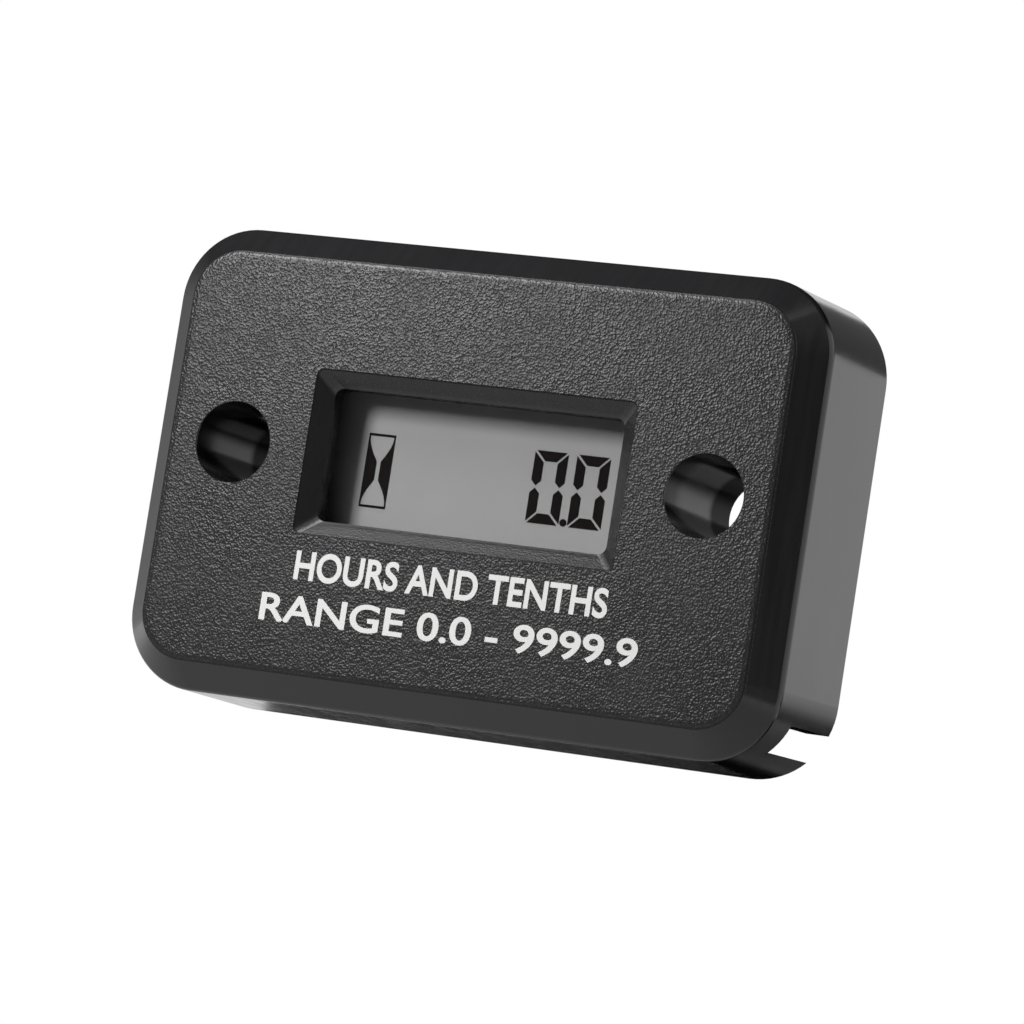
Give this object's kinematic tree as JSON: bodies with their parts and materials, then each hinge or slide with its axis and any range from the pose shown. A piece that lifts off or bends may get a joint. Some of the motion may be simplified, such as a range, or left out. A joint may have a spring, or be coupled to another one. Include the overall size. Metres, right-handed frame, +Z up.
{
  "type": "hour meter",
  "caption": "Rectangular surface-mount hour meter: bevelled black housing with a screw hole at each end, a recessed digital display and potted electronics woken by a spring vibration switch.",
  "frame": {"origin": "midway between the two screw holes, on the mounting plane of the back rim", "axes": "+X to the viewer's right, +Z up, +Y from the face into the panel"},
  "size_m": [0.06, 0.0156, 0.0404],
  "materials": {
    "black_plastic": "moulded black, fine grain on the face, smooth satin on the sides",
    "clear_lens": "clear",
    "display_film": "matt anti-glare film",
    "display_glass": "clear",
    "segment_ink": "dark display segments",
    "display_seal": "cured edge seal",
    "display_field": "grey reflective display field",
    "reflector_film": "silvered film",
    "contact_rubber": "carbon-striped rubber",
    "board_laminate": "green solder resist",
    "plated_steel": "zinc plated",
    "cell_steel": "nickel plated",
    "tab_nickel": "nickel strip",
    "chip_resin": "black resin drop",
    "tan_ceramic": "tan with tinned ends",
    "dark_ceramic": "black with tinned ends",
    "sleeve_plastic": "smooth grey",
    "plug_plastic": "moulded black",
    "contact_brass": "gilt",
    "spring_steel": "bright wire",
    "cast_resin": "poured black resin"
  },
  "bodies": {
    "meter": {"housing": "black_plastic", "window_lens": "clear_lens", "lcd_front_film": "display_film", "lcd_front_glass": "display_glass", "lcd_segments": "segment_ink", "lcd_seal": "display_seal", "lcd_rear_glass": "display_field", "lcd_rear_film": "reflector_film", "contact_strips": "contact_rubber", "circuit_board": "board_laminate", "board_screws": "plated_steel", "coin_cell": "cell_steel", "cell_tab_negative": "tab_nickel", "cell_tab_positive": "tab_nickel", "controller_drop": "chip_resin", "clock_crystal": "plated_steel", "chip_capacitors": "tan_ceramic", "chip_resistors": "dark_ceramic", "switch_sleeve": "sleeve_plastic", "switch_plug": "plug_plastic", "switch_pin": "contact_brass", "switch_lead": "contact_brass", "potting_resin": "cast_resin"},
    "contact_spring": {"switch_spring": "spring_steel"}
  },
  "joints": [
    {"name": "spring_sway", "type": "hinge", "parent": "meter", "child": "contact_spring", "pos_m": [-0.0081, -0.0051, -0.00752], "axis": [0, 1, 0], "range_deg": [-4, 4], "stiffness_Nm_per_rad": 0.0001}
  ]
}
